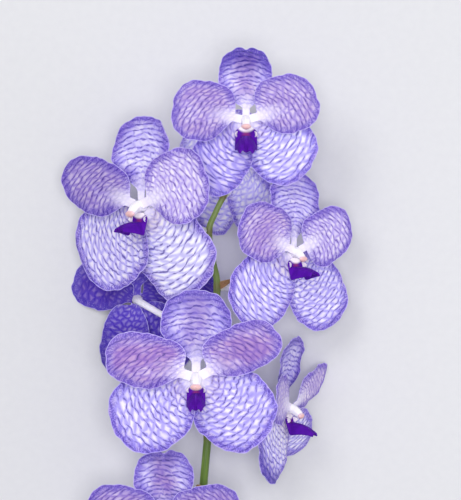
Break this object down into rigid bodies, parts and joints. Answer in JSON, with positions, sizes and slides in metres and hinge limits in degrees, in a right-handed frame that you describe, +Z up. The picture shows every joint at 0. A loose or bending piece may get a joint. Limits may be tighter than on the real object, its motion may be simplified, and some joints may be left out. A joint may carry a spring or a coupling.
{
  "type": "cut vanda orchid spray",
  "caption": "Cut spray of blue-violet vanda orchid lying on a surface: netted blooms on white stalks along a zig-zag green stem.",
  "frame": {"origin": "on the surface that the spray lies on, under the middle of its box", "axes": "+Z up, away from the surface and towards the viewer of the blooms; +Y along the stem from the cut end to the top bloom; +X to the right seen from above"},
  "size_m": [0.1745, 0.3889, 0.1051],
  "materials": {
    "petal": "satin waxy petal, violet net on lilac with a mauve flush",
    "sepal": "satin waxy sepal, blue-violet net on white-lilac",
    "lip": "satin deep indigo-violet",
    "column": "satin lilac-white",
    "stem": "satin green, with dry tan bracts"
  },
  "bodies": {
    "root": {"stem": "stem", "top_bloom_dorsal_sepal": "sepal", "top_bloom_petal_left": "petal", "top_bloom_petal_right": "petal", "top_bloom_lateral_sepal_left": "sepal", "top_bloom_lateral_sepal_right": "sepal", "top_bloom_lip": "lip", "top_bloom_stalk_and_column": "column", "left_bloom_dorsal_sepal": "sepal", "left_bloom_petal_left": "petal", "left_bloom_petal_right": "petal", "left_bloom_lateral_sepal_left": "sepal", "left_bloom_lateral_sepal_right": "sepal", "left_bloom_lip": "lip", "left_bloom_stalk_and_column": "column", "right_bloom_dorsal_sepal": "sepal", "right_bloom_petal_left": "petal", "right_bloom_petal_right": "petal", "right_bloom_lateral_sepal_left": "sepal", "right_bloom_lateral_sepal_right": "sepal", "right_bloom_lip": "lip", "right_bloom_stalk_and_column": "column", "middle_bloom_dorsal_sepal": "sepal", "middle_bloom_petal_left": "petal", "middle_bloom_petal_right": "petal", "middle_bloom_lateral_sepal_left": "sepal", "middle_bloom_lateral_sepal_right": "sepal", "middle_bloom_lip": "lip", "middle_bloom_stalk_and_column": "column", "upper_back_bloom_dorsal_sepal": "sepal", "upper_back_bloom_petal_left": "petal", "upper_back_bloom_petal_right": "petal", "upper_back_bloom_lateral_sepal_left": "sepal", "upper_back_bloom_lateral_sepal_right": "sepal", "upper_back_bloom_lip": "lip", "upper_back_bloom_stalk_and_column": "column", "left_back_bloom_dorsal_sepal": "sepal", "left_back_bloom_petal_left": "petal", "left_back_bloom_petal_right": "petal", "left_back_bloom_lateral_sepal_left": "sepal", "left_back_bloom_lateral_sepal_right": "sepal", "left_back_bloom_lip": "lip", "left_back_bloom_stalk_and_column": "column", "side_bloom_dorsal_sepal": "sepal", "side_bloom_petal_left": "petal", "side_bloom_petal_right": "petal", "side_bloom_lateral_sepal_left": "sepal", "side_bloom_lateral_sepal_right": "sepal", "side_bloom_lip": "lip", "side_bloom_stalk_and_column": "column", "bottom_bloom_dorsal_sepal": "sepal", "bottom_bloom_petal_left": "petal", "bottom_bloom_petal_right": "petal", "bottom_bloom_lateral_sepal_left": "sepal", "bottom_bloom_lateral_sepal_right": "sepal", "bottom_bloom_lip": "lip", "bottom_bloom_stalk_and_column": "column"}
  },
  "joints": []
}
